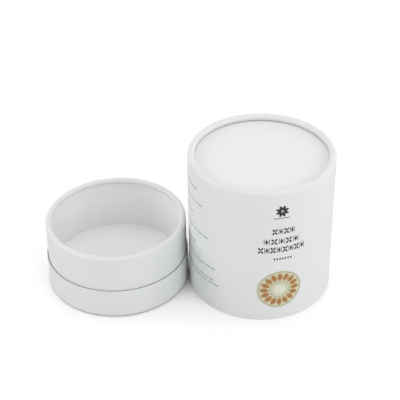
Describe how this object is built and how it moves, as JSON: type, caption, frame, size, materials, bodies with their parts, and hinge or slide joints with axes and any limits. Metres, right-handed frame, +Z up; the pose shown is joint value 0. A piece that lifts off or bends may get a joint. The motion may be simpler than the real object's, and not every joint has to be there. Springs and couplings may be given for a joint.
{
  "type": "cylindrical gift tube box",
  "caption": "Round white paper tube box with rolled edges: a tall lid with a recessed top panel, set beside its shallow open base with a raised neck.",
  "frame": {"origin": "on the table, midway between the axes of the base and the lid as they stand side by side", "axes": "+X from the base's axis to the lid's axis, +Z up along both tubes, +Y to the back"},
  "size_m": [0.2212, 0.11, 0.116],
  "materials": {
    "greyboard": "matte",
    "outer_wrap": "matte",
    "printed_wrap": "matte",
    "panel_paper": "matte",
    "white_paper": "matte"
  },
  "bodies": {
    "base": {"base_tube": "greyboard", "base_wrap": "outer_wrap", "base_foot_paper": "white_paper", "base_board": "greyboard", "base_floor_paper": "white_paper", "neck_tube": "greyboard", "neck_wrap": "outer_wrap", "neck_liner": "white_paper"},
    "lid": {"lid_tube": "greyboard", "lid_wrap": "printed_wrap", "lid_liner": "white_paper", "lid_panel_paper": "panel_paper", "lid_board": "greyboard", "lid_ceiling_paper": "white_paper"}
  },
  "joints": [
    {"name": "lid_lift", "type": "slide", "parent": "base", "child": "lid", "axis": [0, 0, 1], "range_m": [0, 0.12]}
  ]
}
